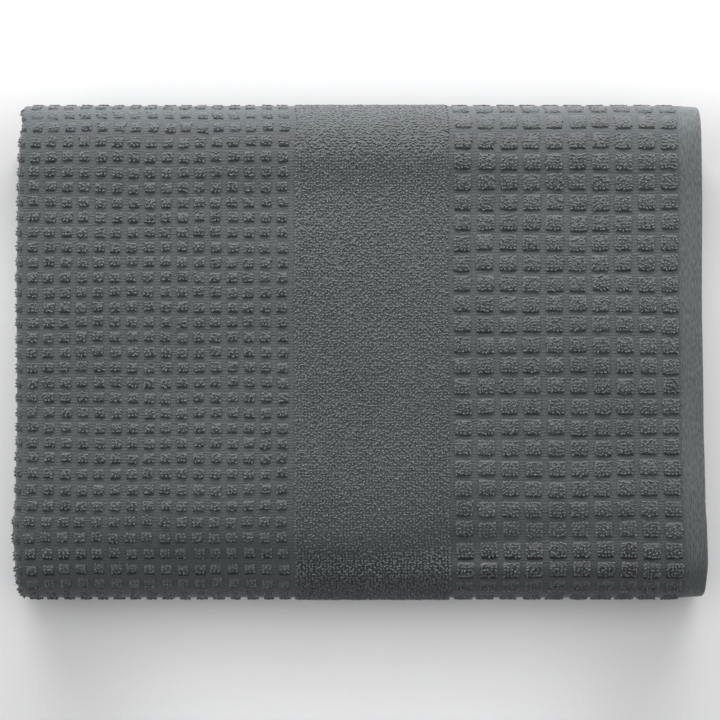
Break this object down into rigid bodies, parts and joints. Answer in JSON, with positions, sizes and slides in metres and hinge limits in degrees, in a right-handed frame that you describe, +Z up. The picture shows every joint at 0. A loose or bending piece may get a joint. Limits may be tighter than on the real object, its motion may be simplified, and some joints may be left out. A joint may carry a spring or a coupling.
{
  "type": "folded bath towel",
  "caption": "Bath towel of checked terry with a plain terry band and flat end hems, folded into a flat rectangular pack.",
  "frame": {"origin": "on the surface under the middle of the folded pack", "axes": "+X along the towel's length towards its visible hem, +Y towards the back fold, +Z up off the surface"},
  "size_m": [0.3541, 0.2528, 0.0494],
  "materials": {
    "terry_cloth": "slate grey cotton terry, matt, with raised checks, a plain band and flat woven hems"
  },
  "bodies": {
    "root": {"towel": "terry_cloth"}
  },
  "joints": []
}
